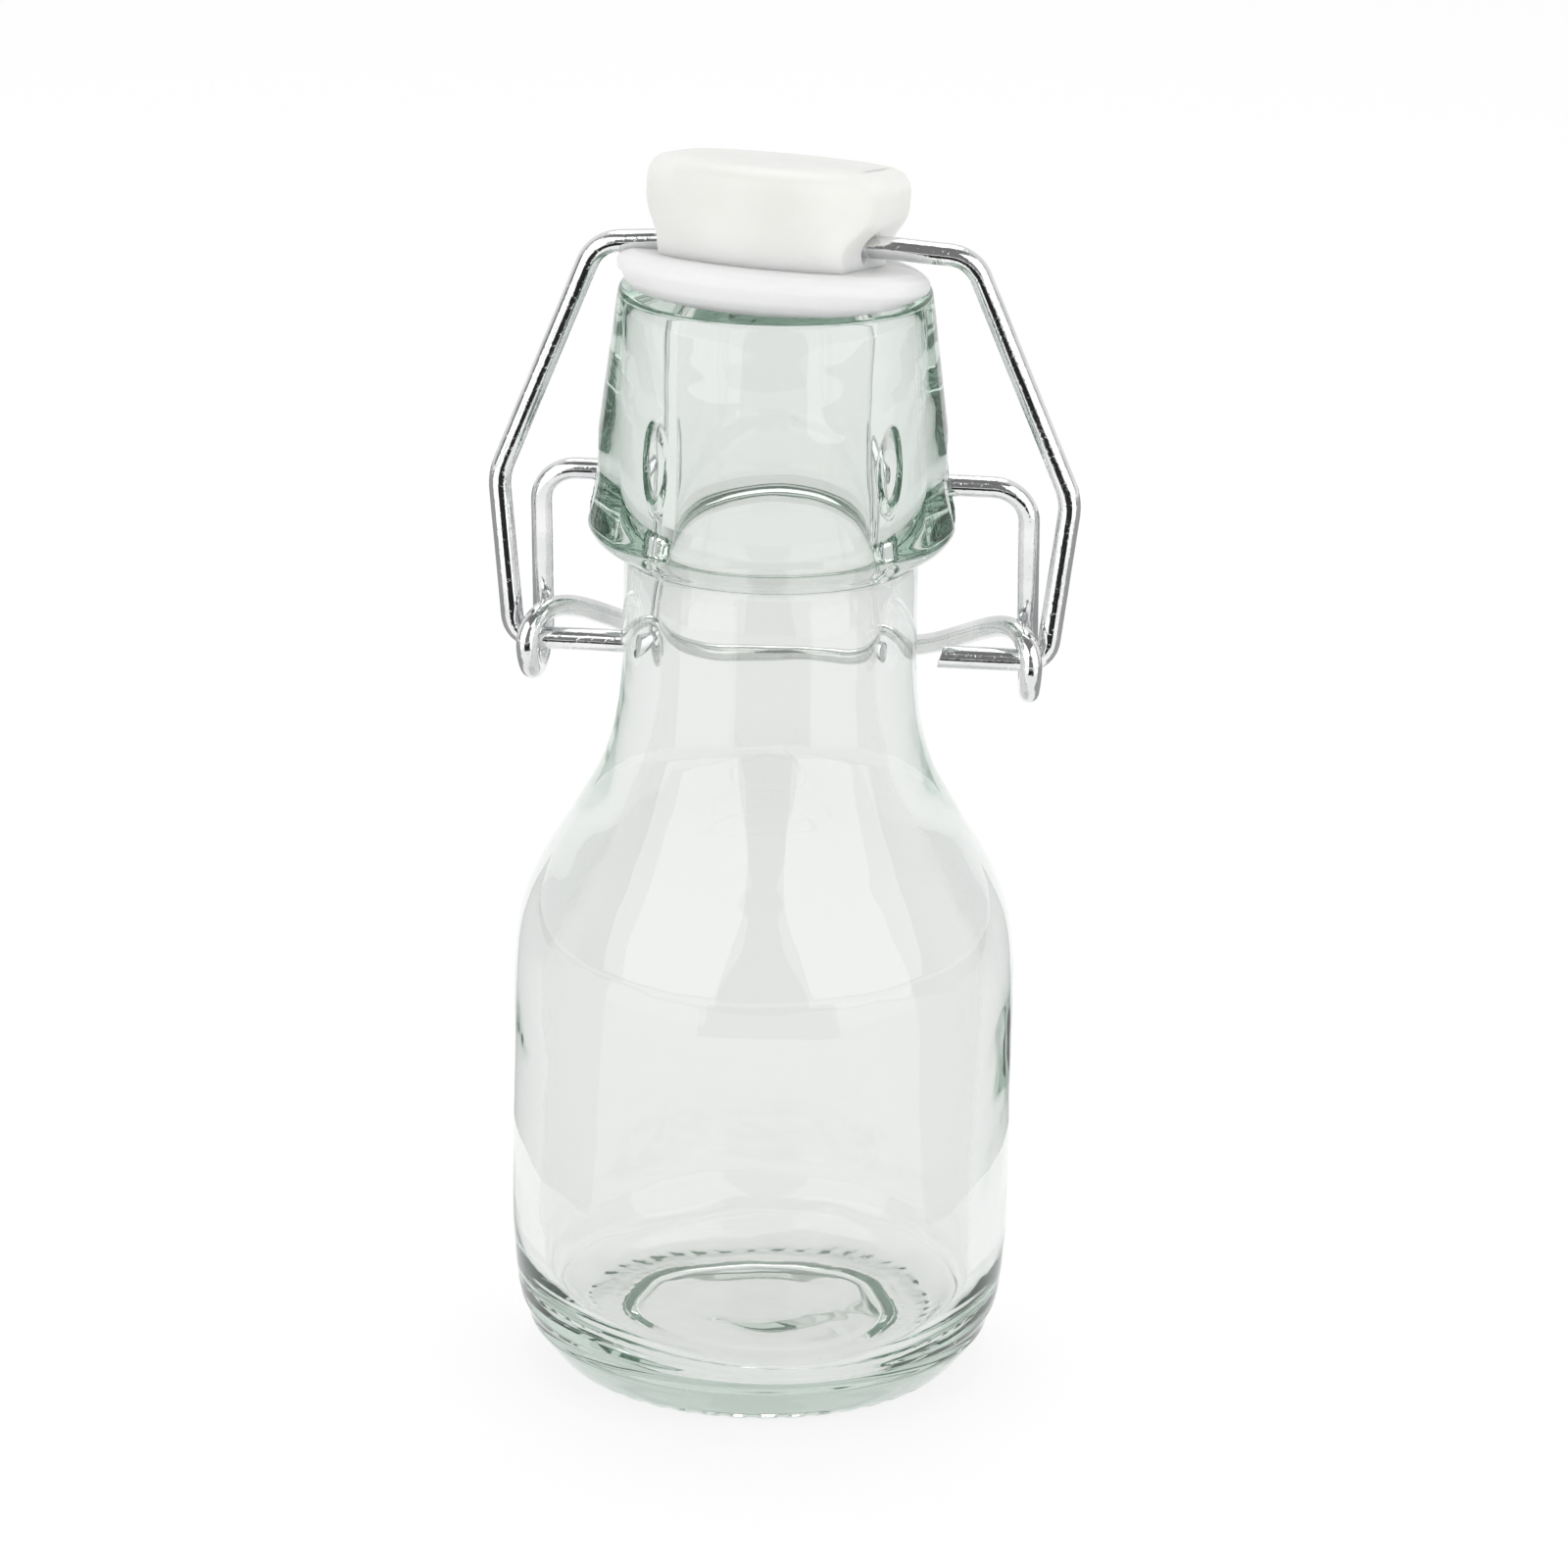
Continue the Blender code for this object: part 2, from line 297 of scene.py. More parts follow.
def lathe(name, outline, segments, shape):
    """A closed mesh turned about Z from an outline that starts and ends on the axis.

    shape(x, y, z) moves the points; it gets and gives arrays in millimetres.
    """
    rows = outline[1:-1]
    turn = np.arange(segments) * 2 * pi / segments
    x = rows[:, :1] * np.cos(turn)
    y = rows[:, :1] * np.sin(turn)
    z = np.repeat(rows[:, 1:], segments, axis=1)
    x, y, z = shape(x, y, z)
    points = np.stack([x, y, z], axis=2).reshape(-1, 3)
    poles = np.array([[0, 0, outline[0][1]], [0, 0, outline[-1][1]]])
    first, last = len(points), len(points) + 1
    faces = []
    for i in range(segments):
        j = (i + 1) % segments
        faces.append((first, i, j))
        for row in range(len(rows) - 1):
            a = row * segments
            b = a + segments
            faces.append((a + i, b + i, b + j, a + j))
        end = (len(rows) - 1) * segments
        faces.append((end + i, last, end + j))
    return solid(name, np.concatenate([points, poles]), faces)


def ring(name, outline, segments):
    """A closed ring turned about Z from a closed outline."""
    verts = []
    for i in range(segments):
        a = 2 * pi * i / segments
        verts += [(r * cos(a), r * sin(a), z) for r, z in outline]
    count = len(outline)
    faces = []
    for i in range(segments):
        j = (i + 1) % segments
        for k in range(count):
            n = (k + 1) % count
            faces.append((i * count + k, i * count + n, j * count + n, j * count + k))
    return solid(name, verts, faces)


def swept(name, path, radius, cut_slope, wobble=0.012):
    """A round wire along path (millimetres), with sheared ends and lengthwise UVs in metres."""
    path = [Vector(p) for p in path]
    count = len(path)
    sides = WIRE_SIDES
    tangents = []
    for i in range(count):
        tangents.append((path[min(i + 1, count - 1)] - path[max(i - 1, 0)]).normalized())
    side = tangents[0].orthogonal().normalized()
    lengths = [0.0]
    rings = []
    for i in range(count):
        if i:
            lengths.append(lengths[-1] + (path[i] - path[i - 1]).length)
            side = (tangents[i - 1].rotation_difference(tangents[i]) @ side).normalized()
        across = tangents[i].cross(side)
        around = []
        for k in range(sides):
            a = 2 * pi * k / sides
            out = side * cos(a) + across * sin(a)
            r = radius * (1 + wobble * noise.noise(Vector((lengths[-1] * 0.35, cos(a), sin(a)))))
            around.append(path[i] + out * r)
        rings.append(around)
    rings = with_cut_end(rings, tangents[-1], radius, cut_slope)
    rings = with_cut_end(rings[::-1], -tangents[0], radius, cut_slope)[::-1]
    extra = len(rings) - count
    lengths = [lengths[0]] * (extra // 2) + lengths + [lengths[-1]] * (extra - extra // 2)

    verts = [tuple(p) for points in rings for p in points]
    faces = []
    for i in range(len(rings) - 1):
        for k in range(sides):
            n = (k + 1) % sides
            faces.append((i * sides + k, (i + 1) * sides + k, (i + 1) * sides + n, i * sides + n))
    for end, points in ((0, rings[0]), ((len(rings) - 1) * sides, rings[-1])):
        verts.append(tuple(centre_of(points)))
        faces += [(end + k, end + (k + 1) % sides, len(verts) - 1) for k in range(sides)]
    mesh = solid(name, verts, faces)
    layer = mesh.uv_layers.new(name="along").data
    for polygon in mesh.polygons:
        for loop in polygon.loop_indices:
            vert = mesh.loops[loop].vertex_index
            row = min(vert // sides, len(rings) - 1)
            layer[loop].uv = (lengths[row] * MM, (vert % sides) / sides)
    mesh.set_sharp_from_angle(angle=radians(40))
    return mesh


def with_cut_end(rings, tangent, radius, slope):
    """The last ring leans with the shear's cut, and a small burr rounds its edge."""
    centre = centre_of(rings[-1])
    cut = []
    for p in rings[-1]:
        rise = (p - centre).dot(SHEAR_UP) / radius
        cut.append(p + tangent * (-slope * radius * (0.5 + 0.5 * rise)))
    centre = centre_of(cut)
    inset = [centre + (p - centre) * BURR_WIDTH + tangent * BURR_LENGTH * radius for p in cut]
    return rings[:-1] + [cut, inset]


def centre_of(points):
    return sum(points, Vector()) / len(points)


# ---------------------------------------------------------------- node materials

class Nodes:
    """A short way to write a node tree."""

    def __init__(self, name):
        self.material = bpy.data.materials.new(name)
        self.material.use_nodes = True
        self.tree = self.material.node_tree
        self.shader = self.tree.nodes["Principled BSDF"]
        self.output = self.tree.nodes["Material Output"]

    def node(self, kind, settings=None, **inputs):
        made = self.tree.nodes.new(kind)
        for key, value in (settings or {}).items():
            setattr(made, key, value)
        for key, value in inputs.items():
            self.feed(made.inputs[key.replace("_", " ")], value)
        return made

    def feed(self, socket, value):
        if isinstance(value, bpy.types.NodeSocket):
            self.tree.links.new(value, socket)
        else:
            socket.default_value = value

    def set(self, **inputs):
        for key, value in inputs.items():
            self.feed(self.shader.inputs[key.replace("_", " ")], value)

    def place(self, scale=(1.0, 1.0, 1.0)):
        """Object coordinates, stretched."""
        source = self.node("ShaderNodeTexCoord").outputs["Object"]
        return self.node("ShaderNodeMapping", Vector=source, Scale=scale).outputs[0]

    def grain(self, vector, scale, detail=3.0, roughness=0.5):
        return self.node("ShaderNodeTexNoise", Vector=vector, Scale=scale, Detail=detail,
                         Roughness=roughness).outputs[0]

    def ranged(self, value, low, high, start=0.0, end=1.0):
        """value from start..end mapped to low..high, and held at the ends."""
        made = self.node("ShaderNodeMapRange", Value=value)
        for socket, number in zip(("From Min", "From Max", "To Min", "To Max"), (start, end, low, high)):
            made.inputs[socket].default_value = number
        return made.outputs[0]

    def tinted(self, factor, low, high):
        made = self.node("ShaderNodeMix", {"data_type": "RGBA"})
        self.feed(made.inputs[0], factor)
        self.feed(made.inputs[6], (*low, 1.0))
        self.feed(made.inputs[7], (*high, 1.0))
        return made.outputs[2]

    def bumped(self, height, strength, distance, under=None):
        made = self.node("ShaderNodeBump", Height=height, Strength=strength, Distance=distance)
        if under:
            self.feed(made.inputs["Normal"], under)
        return made.outputs[0]


def clear_glass():
    """Soda-lime glass: faint ripples, a patchy haze, and green only where it is thick."""
    n = Nodes("clear_glass")
    place = n.place()
    ripple = n.bumped(n.grain(place, 90.0, detail=2.0), 0.25, 0.0006)
    haze = n.ranged(n.grain(place, 260.0), 0.0, 0.03, 0.45, 0.75)
    # The grey base colour is painted shade: it dims everything seen through the glass in place of the
    # shaded floor behind the bottle
    n.set(Base_Color=(0.93, 0.926, 0.921, 1.0), Transmission_Weight=1.0, IOR=1.51, Roughness=haze,
          Normal=ripple)
    volume = n.node("ShaderNodeVolumeAbsorption", Color=(0.0, 0.31, 0.14, 1.0), Density=13.0)
    n.tree.links.new(volume.outputs[0], n.output.inputs["Volume"])
    return n.material


def plated_wire():
    """Bright plated drawn wire: draw marks along it, small pits and rubbed places."""
    n = Nodes("plated_wire")
    along = n.node("ShaderNodeUVMap", {"uv_map": "along"}).outputs[0]
    stretched = n.node("ShaderNodeMapping", Vector=along, Scale=(160.0, 34.0, 1.0)).outputs[0]
    marks = n.grain(stretched, 1.0, detail=4.0, roughness=0.6)
    place = n.place()
    pits = n.grain(place, 2600.0, detail=2.0)
    rubbed = n.grain(place, 240.0, detail=3.0)
    colour = n.tinted(n.ranged(rubbed, 0.0, 1.0, 0.3, 0.7), (0.70, 0.71, 0.72), (0.90, 0.90, 0.90))
    n.set(Metallic=1.0, Base_Color=colour, Roughness=n.ranged(marks, 0.03, 0.14, 0.3, 0.75))
    coarse = n.bumped(marks, 0.3, 0.000012)
    n.set(Normal=n.bumped(n.ranged(pits, 0.0, 1.0, 0.55, 0.7), 0.25, 0.00003, coarse))
    return n.material


def white_plastic():
    """Natural white polyethylene: soft gloss, light goes in and comes out again."""
    n = Nodes("white_plastic")
    place = n.place()
    cloud = n.grain(place, 160.0, detail=2.0)
    peel = n.grain(place, 900.0, detail=3.0)
    specks = n.grain(place, 2400.0, detail=1.0)
    clouded = n.ranged(cloud, 0.0, 1.0, 0.3, 0.7)
    n.set(Base_Color=n.tinted(clouded, (0.80, 0.80, 0.775), (0.835, 0.835, 0.815)),
          Subsurface_Weight=0.85, Subsurface_Radius=(1.0, 0.95, 0.85), Subsurface_Scale=0.003,
          IOR=1.51, Roughness=n.ranged(peel, 0.30, 0.46, 0.3, 0.7))
    fine = n.bumped(peel, 0.25, 0.00008)
    n.set(Normal=n.bumped(n.ranged(specks, 0.0, 1.0, 0.66, 0.74), 0.2, 0.00004, fine))
    return n.material


def clear_silicone():
    """Milky translucent soft washer."""
    n = Nodes("clear_silicone")
    place = n.place()
    cloud = n.grain(place, 220.0, detail=3.0)
    clouded = n.ranged(cloud, 0.0, 1.0, 0.3, 0.7)
    n.set(Base_Color=n.tinted(clouded, (0.95, 0.965, 0.96), (0.985, 0.995, 0.99)),
          Subsurface_Weight=1.0, Subsurface_Radius=(1.0, 1.0, 1.0), Subsurface_Scale=0.008,
          IOR=1.42, Roughness=n.ranged(cloud, 0.30, 0.45, 0.3, 0.7),
          Normal=n.bumped(n.grain(place, 700.0), 0.2, 0.0001))
    return n.material


# ---------------------------------------------------------------- glass bottle

def outer_glass():
    """Outside of the bottle from the lip's inner edge down to the base's centre."""
    lip_edge = arc((LIP_R - LIP_ROUND, LIP_Z - LIP_ROUND - 0.1), LIP_ROUND, 72, 4, 12)
    lip = [(10.0, LIP_Z), (10.6, LIP_Z), *lip_edge]
    hem = arc((SKIRT_R - 2.4, 73.9), 2.4, 4, -80, 18)
    neck = [(NECK_R + 0.6, 71.25), (NECK_R + 0.1, 70.8), (NECK_R, 70.0), (NECK_R, 66.0)]
    shoulder = smooth([(NECK_R, 61.5), (12.6, 57.0), (13.75, 52.5), (16.3, 47.8), (18.85, 43.5),
                       (20.35, 39.8), (20.9, 36.2), (BODY_R, 32.5)])
    heel = [(BODY_R, 22.0), *smooth([(BODY_R, 12.3), (20.6, 7.2), (20.2, 5.1)])]
    rim = [(19.95, 4.75), (19.75, 4.3), (19.5, 3.3), (18.5, 2.0), (17.5, 0.75), (BEARING_R + 0.5, 0.1),
           (BEARING_R, 0.0)]
    punt = [(12.2, 0.0), (11.4, 0.5), (10.5, 1.6), (6.0, 1.95), (0.0, 2.0)]
    return lip + hem + neck + shoulder + heel + rim + punt


def inner_glass():
    """Inside of the bottle from the floor's centre up to the mouth."""
    floor = [(0.0, 5.05), (6.0, 5.0), (11.0, 4.5)]
    corner = smooth([(14.4, 4.7), (16.4, 5.8), (17.4, 7.2), (18.0, 9.4), (18.2, 13.0)])
    wall = [(18.2, 22.0)]
    shoulder = smooth([(18.2, 31.5), (18.0, 35.6), (17.2, 39.2), (15.4, 42.7), (12.9, 46.6),
                       (11.1, 50.5), (9.9, 54.5), (9.3, 58.5), (9.1, 62.5), (9.0, 66.0), (8.5, 70.0),
                       (BORE_R, 74.0)])
    mouth = [(BORE_R, 84.0), *arc((BORE_R + 1.8, LIP_Z - 1.8), 1.8, 180, 90, 12)]
    return floor + corner + wall + shoulder + mouth[:-1]


def glass_shape(x, y, z):
    """Pockets for the lever's ends, the uneven inside, and the knurled and stippled base."""
    r = np.hypot(x, y)
    turn = np.arctan2(y, x)

    half_x, half_y, half_z = POCKET_HALF
    inside = 1 - (y / half_y) ** 2 - ((z - PIVOT_Z) / half_z) ** 2
    dent = POCKET_X - half_x * np.sqrt(np.clip(inside, 0, 1))
    on_skirt = (r > 12.0) & (inside > 0)
    x = np.where(on_skirt, np.sign(x) * soft_least(np.abs(x), dent + 0.1, 0.5), x)

    middle = np.interp(z, *np.array(WALL_MIDDLE).T)
    is_inner = (r < middle) & (z > 3.5)
    wave = (0.10 * np.sin(2 * turn + 0.09 * z + 0.6) + 0.06 * np.sin(3 * turn - 0.17 * z + 1.9)
            + 0.03 * np.sin(5 * turn + 0.31 * z) + 0.04 * np.sin(0.42 * z + 2 * turn))
    wave *= bump(z, 12.0, 84.0, 6.0) * (1 - 0.6 * bump(z, 55.0, 90.0, 8.0))
    scale = np.where(is_inner, 1 + wave / np.maximum(r, 1.0), 1.0)
    x, y = x * scale, y * scale
    rise = 0.42 * np.cos(turn - 2.0) + 0.25 * np.cos(2 * turn - 0.4) + 0.16 * np.cos(3 * turn + 0.5)
    rise *= np.clip(r / 14.0, 0, 1.1) ** 2 * bump(z, 3.5, 7.0, 5.0)
    z = z + np.where(is_inner, rise, 0.0)

    under = (z < 1.2) & ~is_inner
    notches = NOTCH_DEPTH * np.clip(np.cos(NOTCHES * turn), 0, 1) * bump(r, 15.9, 16.8, 0.4)
    bands = bump(r, 14.2, 15.6, 0.3) + bump(r, 11.9, 13.0, 0.3)
    stipple = STIPPLE_DEPTH * np.random.default_rng(STIPPLE_SEED).random(r.shape) * bands
    z = z + np.where(under, notches + stipple, 0.0)
    return x, y, z


def glass_bottle(material):
    outline = outer_glass()[::-1] + inner_glass()[::-1]

    def fine(point):
        near_pocket = abs(point[1] - PIVOT_Z) < 4.5 and point[0] > 12
        near_notches = point[1] < 0.3 and 13 < point[0] < 17.6
        return FINE_ROW_SPACING if near_pocket or near_notches else ROW_SPACING

    rows = thinned(softened(outline, 0.9), fine=fine)
    rows[0][0] = rows[-1][0] = 0.0
    mesh = lathe("bottle_glass", rows, GLASS_SEGMENTS, glass_shape)
    mesh.transform(Matrix.Rotation(GLASS_TURN, 4, "Z"))
    return link("bottle_glass", mesh, material)


# ---------------------------------------------------------------- wires

def eye_points(steps=44):
    """The lever's coiled eye at +X, from its top over the front and round to the leg."""
    end = 1.5 * pi + asin(EYE_R / (PIVOT_Z - EYE_Z))
    points = []
    for i in range(steps + 1):
        a = end * i / steps
        if a < pi / 2:
            x = EYE_TOP_X + (EYE_FRONT_X - EYE_TOP_X) * sin(a)
        else:
            x = EYE_FRONT_X + (LEG_X - EYE_FRONT_X) * (a - pi / 2) / (end - pi / 2)
        points.append(Vector((x, -EYE_R * sin(a), EYE_Z + EYE_R * cos(a))))
    return points


def cross_bar_points(steps=30):
    """Half of the bar behind the neck, from its middle to the top of the eye at +X."""
    handles = [Vector((0.0, CROSS_BAR_Y)), Vector((8.5, CROSS_BAR_Y)),
               Vector((15.2, 6.8)), Vector((EYE_TOP_X, 0.0))]
    eye_top = EYE_Z + EYE_R
    points = []
    for i in range(steps):
        t = i / steps
        weights = ((1 - t) ** 3, 3 * t * (1 - t) ** 2, 3 * t * t * (1 - t), t ** 3)
        plan = sum((w * h for w, h in zip(weights, handles)), Vector((0.0, 0.0)))
        back = plan.y / CROSS_BAR_Y
        fall = (eye_top - CROSS_BAR_Z) * back * back * (3 - 2 * back)
        points.append(Vector((plan.x, plan.y, eye_top - fall)))
    return points


def lever_half(end_x):
    eye = eye_points()
    leg = rounded_path([eye[-1], (LEG_X, 0.0, PIVOT_Z), (end_x, 0.0, PIVOT_Z)], [LEG_BEND_R])
    return cross_bar_points() + eye[:-1] + leg


def shifted(points):
    """The wires hang in their play, a little to the right."""
    return [Vector(p) + Vector((WIRE_SHIFT, 0.0, 0.0)) for p in points]


def lever_wire(material):
    path = evenly(shifted(mirrored(lever_half(SHORT_END_X))[:-1] + lever_half(LEVER_END_X)), 0.35)
    return link("lever_wire_plated", swept("lever_wire_plated", path, LEVER_WIRE_R, 0.5), material)


def bail_wire(material):
    """The bar through the stopper is bowed: its ends are pulled down."""
    bar_z = SWIVEL_Z - BAR_DROP
    halves = []
    for side, top_x, wide_x, foot_x in zip((-1, 1), BAIL_TOP_X, BAIL_WIDE_X, BAIL_FOOT_X):
        corners = [(0.0, 0.0, bar_z), (8.0 * side, 0.0, bar_z), (top_x, 0.0, bar_z - BAIL_SAG),
                   (wide_x, 0.0, BAIL_WIDE_Z), (foot_x, 0.0, EYE_Z), (BAIL_TIP_X * side, 0.0, EYE_Z)]
        halves.append(rounded_path(corners, [30.0, 3.0, 5.0, 2.0]))
    left, right = halves
    path = evenly(shifted(left[::-1][:-1] + right), 0.4)
    return link("bail_wire_plated", swept("bail_wire_plated", path, BAIL_WIRE_R, 0.7), material)


# ---------------------------------------------------------------- closure

def leaned(mesh):
    """Turns a closure mesh about the bail wire: back, down at the right, and a little round."""
    pivot = Vector((0, 0, SWIVEL_Z * MM))
    turn = Matrix.Rotation(-LEAN_BACK, 4, "X") @ Matrix.Rotation(TILT_RIGHT, 4, "Y")
    turn @= Matrix.Rotation(SPIN, 4, "Z")
    mesh.transform(Matrix.Translation(pivot) @ turn @ Matrix.Translation(-pivot))


def stopper_shape(x, y, z):
    """Two side flats that run out into the head's full round top."""
    up = np.clip((z - FLAT_RISE_Z) / FLAT_RISE_HEIGHT, 0, 1)
    up = up * up * (3 - 2 * up)
    corner = np.where(x < 0, FLAT_CORNER[0], FLAT_CORNER[1])
    over = np.clip(z - HEAD_TOP_Z + corner, 0, corner)
    flat = np.where(x < 0, FLAT_X[0] + FLAT_RISE[0] * up, FLAT_X[1] + FLAT_RISE[1] * up)
    flat -= corner - np.sqrt(corner ** 2 - over ** 2)
    on_head = z > HEAD_BASE_Z - 0.2
    limited = np.sign(x) * soft_least(np.abs(x), flat, 0.45)
    return np.where(on_head, limited, x), y, z


def stopper(material):
    """Mushroom head with two side flats, a cross hole for the bail and a plug below."""
    crown = [(0.0, HEAD_TOP_Z - 0.25), (5.0, HEAD_TOP_Z - 0.12)]
    crown += arc((HEAD_R - HEAD_ROUND, HEAD_TOP_Z - HEAD_ROUND), HEAD_ROUND, 86, 0, 16)
    side = smooth([(HEAD_R, HEAD_TOP_Z - 2.6), (11.25, 99.2), (10.9, 97.4), (HEAD_BASE_R, HEAD_BASE_Z)])
    stem = [(STEM_R, HEAD_BASE_Z), (STEM_R, PLUG_TOP_Z), (PLUG_R - 0.5, PLUG_TOP_Z)]
    plug = [(PLUG_R, PLUG_TOP_Z - 0.5), (6.4, 92.4), *arc((5.3, PLUG_BOTTOM_Z + 1.0), 1.0, 0, -90, 8),
            (0.0, PLUG_BOTTOM_Z)]
    rows = thinned(softened(crown + side + stem + plug, 0.5), longest=0.45)
    rows[0][0] = rows[-1][0] = 0.0
    mesh = lathe("stopper_plastic", rows, CLOSURE_SEGMENTS, stopper_shape)
    made = link("stopper_plastic", mesh, material)
    bore_cross_hole(made)
    leaned(made.data)
    return made


def bore_cross_hole(target):
    """Cuts the hole for the bail's bar through the head."""
    mesh = bpy.data.meshes.new("cross_hole")
    bm = bmesh.new()
    radius = CROSS_HOLE_R * MM
    placing = Matrix.Translation((0, 0, SWIVEL_Z * MM)) @ Matrix.Rotation(pi / 2, 4, "Y")
    bmesh.ops.create_cone(bm, cap_ends=True, segments=40, radius1=radius, radius2=radius,
                          depth=4 * HEAD_R * MM, matrix=placing)
    bmesh.ops.recalc_face_normals(bm, faces=bm.faces)
    bm.to_mesh(mesh)
    bm.free()
    tool = bpy.data.objects.new("cross_hole", mesh)
    bpy.context.scene.collection.objects.link(tool)
    boolean = target.modifiers.new("cross_hole", "BOOLEAN")
    boolean.operation = "DIFFERENCE"
    boolean.solver = "EXACT"
    boolean.object = tool
    bpy.context.view_layer.update()
    evaluated = target.evaluated_get(bpy.context.evaluated_depsgraph_get())
    finished = bpy.data.meshes.new_from_object(evaluated)
    target.modifiers.clear()
    target.data = finished
    bpy.data.objects.remove(tool)
    finished.shade_smooth()
    finished.set_sharp_from_angle(angle=radians(40))


def washer(material):
    """A soft ring with a funnel below; it follows the head's lean and gives way to the lip."""
    edge = arc((WASHER_R - WASHER_EDGE_R, WASHER_BOTTOM_Z + WASHER_EDGE_R), WASHER_EDGE_R, -60, 60, 12)
    funnel = [(FUNNEL_R, FUNNEL_Z), (7.3, FUNNEL_Z), (8.0, 91.5), (9.6, 91.7), (11.2, 92.2), (12.0, 92.9)]
    outline = [*funnel, *edge, (WASHER_R - 1.2, WASHER_TOP_Z - 0.05),
               (WASHER_HOLE_R + 0.2, WASHER_TOP_Z), (WASHER_HOLE_R, WASHER_TOP_Z - 0.2),
               (WASHER_HOLE_R, WASHER_BOTTOM_Z), (FUNNEL_R, WASHER_BOTTOM_Z), (FUNNEL_R, FUNNEL_Z)]
    rows = thinned(softened(outline, 0.2), longest=0.5)
    mesh = ring("washer_silicone", rows[:-1], CLOSURE_SEGMENTS)
    middle = (WASHER_BOTTOM_Z + WASHER_TOP_Z) / 2
    upper = [vert.co.z / MM > middle for vert in mesh.vertices]
    leaned(mesh)
    lip = LIP_Z + LIP_GAP
    for vert, on_top in zip(mesh.vertices, upper):
        least = lip + (WASHER_LEAST if on_top else 0.0)
        over_lip = hypot(vert.co.x, vert.co.y) > (BORE_R - 0.1) * MM
        if over_lip:
            vert.co.z = max(vert.co.z, least * MM)
    mesh.update()
    return link("washer_silicone", mesh, material)


# ---------------------------------------------------------------- studio

def camera():
    data = bpy.data.cameras.new("camera")
    data.lens = CAMERA_LENS
    data.sensor_width = SENSOR
    data.clip_start = 0.01
    data.clip_end = 50.0
    made = bpy.data.objects.new("camera", data)
    bpy.context.scene.collection.objects.link(made)
    right = Vector((1, 0, 0))
    forward = Vector((0, cos(CAMERA_PITCH), -sin(CAMERA_PITCH)))
    up = Vector((0, sin(CAMERA_PITCH), cos(CAMERA_PITCH)))
    rolled_right = right * cos(CAMERA_ROLL) + up * sin(CAMERA_ROLL)
    rolled_up = up * cos(CAMERA_ROLL) - right * sin(CAMERA_ROLL)
    turned = Matrix((rolled_right, rolled_up, -forward)).transposed().to_4x4()
    yaw = Matrix.Rotation(CAMERA_YAW, 4, "Z")
    made.matrix_world = yaw @ Matrix.Translation(CAMERA_PLACE) @ turned
    bpy.context.scene.camera = made


def floor():
    """A wide pale sheet, bright enough to lose the horizon."""
    mesh = bpy.data.meshes.new("floor")
    half = FLOOR_HALF
    mesh.from_pydata([(-half, -half, 0), (half, -half, 0), (half, half, 0), (-half, half, 0)], [],
                     [(0, 1, 2, 3)])
    n = Nodes("floor_paper")
    n.set(Base_Color=(0.22, 0.22, 0.22, 1.0), Roughness=0.8, Specular_IOR_Level=0.1,
          Emission_Color=(1.0, 1.0, 1.0, 1.0), Emission_Strength=0.80)
    made = link("floor", mesh, n.material)
    made.location.z = -0.0001


def painted_reflection_sheet(name, start, end, near, glow, steps=12):
    """A painted reflection: a sheet on the floor that only reflections see, black or glowing, between two
    azimuths from the camera's.
    """
    angles = [radians(start + (end - start) * i / steps) for i in range(steps + 1)]
    verts = [(r * sin(a), -r * cos(a), 0.0005) for r in (near, PAINTED_REFLECTION_REACH) for a in angles]
    faces = [(i, i + 1, steps + 2 + i, steps + 1 + i) for i in range(steps)]
    mesh = bpy.data.meshes.new(name)
    mesh.from_pydata(verts, [], faces)
    n = Nodes(name)
    # Painted reflection: black with no glow for dark streaks, or a glow that lights nothing and is seen
    # only in reflections
    n.set(Base_Color=(0.02, 0.02, 0.02, 1.0), Roughness=1.0, Specular_IOR_Level=0.0,
          Emission_Color=(1.0, 1.0, 1.0, 1.0), Emission_Strength=glow)
    made = link(name, mesh, n.material)
    made.rotation_euler.z = CAMERA_YAW
    for ray in ("camera", "diffuse", "transmission", "shadow", "volume_scatter"):
        setattr(made, "visible_" + ray, False)


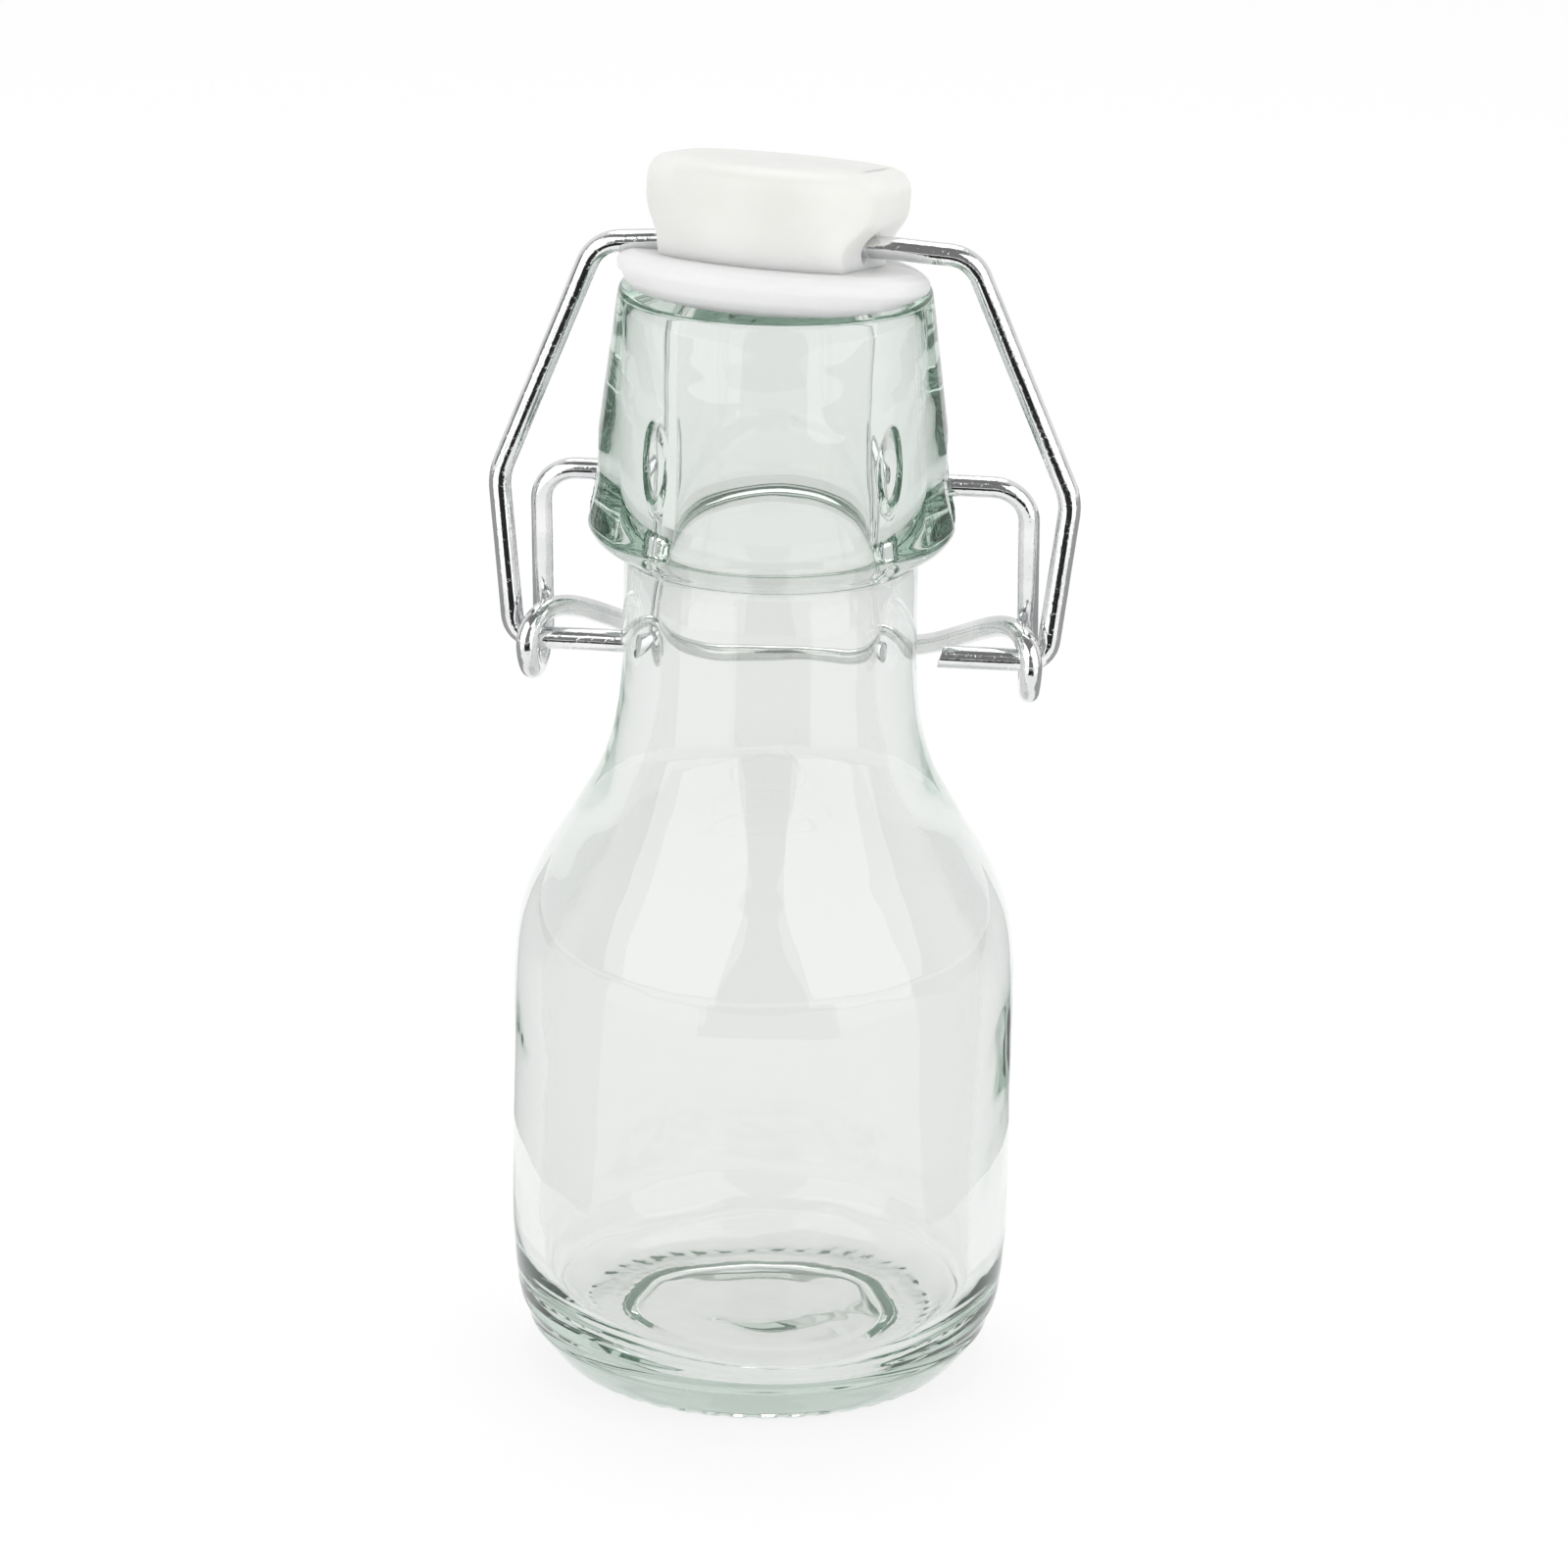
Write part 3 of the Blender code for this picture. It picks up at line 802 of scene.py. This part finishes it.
def softbox(name, azimuth, elevation, distance, size, radiance):
    """A large area light that looks at the bottle's upper half."""
    data = bpy.data.lights.new(name, "AREA")
    data.shape = "RECTANGLE"
    data.size, data.size_y = size
    data.energy = radiance * pi * size[0] * size[1]
    made = bpy.data.objects.new(name, data)
    bpy.context.scene.collection.objects.link(made)
    a = CAMERA_YAW + radians(azimuth)
    e = radians(elevation)
    target = Vector((0, 0, 0.06))
    made.location = target + distance * Vector((sin(a) * cos(e), -cos(a) * cos(e), sin(e)))
    aim = target - made.location
    made.rotation_euler = aim.to_track_quat("-Z", "Y").to_euler()


def world():
    """A studio that is bright behind the bottle and dark on the camera's side."""
    made = bpy.data.worlds.new("studio")
    bpy.context.scene.world = made
    made.use_nodes = True
    tree = made.node_tree
    where = tree.nodes.new("ShaderNodeTexCoord").outputs["Generated"]
    split = tree.nodes.new("ShaderNodeSeparateXYZ")
    tree.links.new(where, split.inputs[0])
    ramp = tree.nodes.new("ShaderNodeValToRGB")
    ramp.color_ramp.elements[0].position = 0.45
    ramp.color_ramp.elements[0].color = (0.2, 0.2, 0.2, 1)
    ramp.color_ramp.elements[1].position = 0.70
    ramp.color_ramp.elements[1].color = (0.85, 0.85, 0.85, 1)
    half = tree.nodes.new("ShaderNodeMath")
    half.operation = "MULTIPLY_ADD"
    tree.links.new(split.outputs[1], half.inputs[0])
    half.inputs[1].default_value = 0.5
    half.inputs[2].default_value = 0.5
    tree.links.new(half.outputs[0], ramp.inputs[0])
    tree.links.new(ramp.outputs[0], tree.nodes["Background"].inputs["Color"])


def studio():
    """Light that is reflected inside the glass needs many more bounces than usual."""
    scene = bpy.context.scene
    scene.view_settings.view_transform = "Standard"
    scene.cycles.max_bounces = GLASS_BOUNCES
    scene.cycles.glossy_bounces = GLASS_BOUNCES
    scene.cycles.transmission_bounces = GLASS_BOUNCES
    world()
    floor()
    for values in PAINTED_REFLECTIONS:
        painted_reflection_sheet(*values)
    for values in SOFTBOXES:
        softbox(*values)


def build():
    camera()
    studio()
    wire = plated_wire()
    parts = [
        (glass_bottle(clear_glass()), "bottle", "glass_bottle", "clear_glass"),
        (lever_wire(wire), "lever", "lever_wire", "plated_wire"),
        (bail_wire(wire), "bail", "bail_wire", "plated_wire"),
        (stopper(white_plastic()), "closure", "stopper", "white_plastic"),
        (washer(clear_silicone()), "closure", "sealing_washer", "clear_silicone"),
    ]
    for piece, body, node, slot in parts:
        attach(piece, body)
        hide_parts(node)


build()
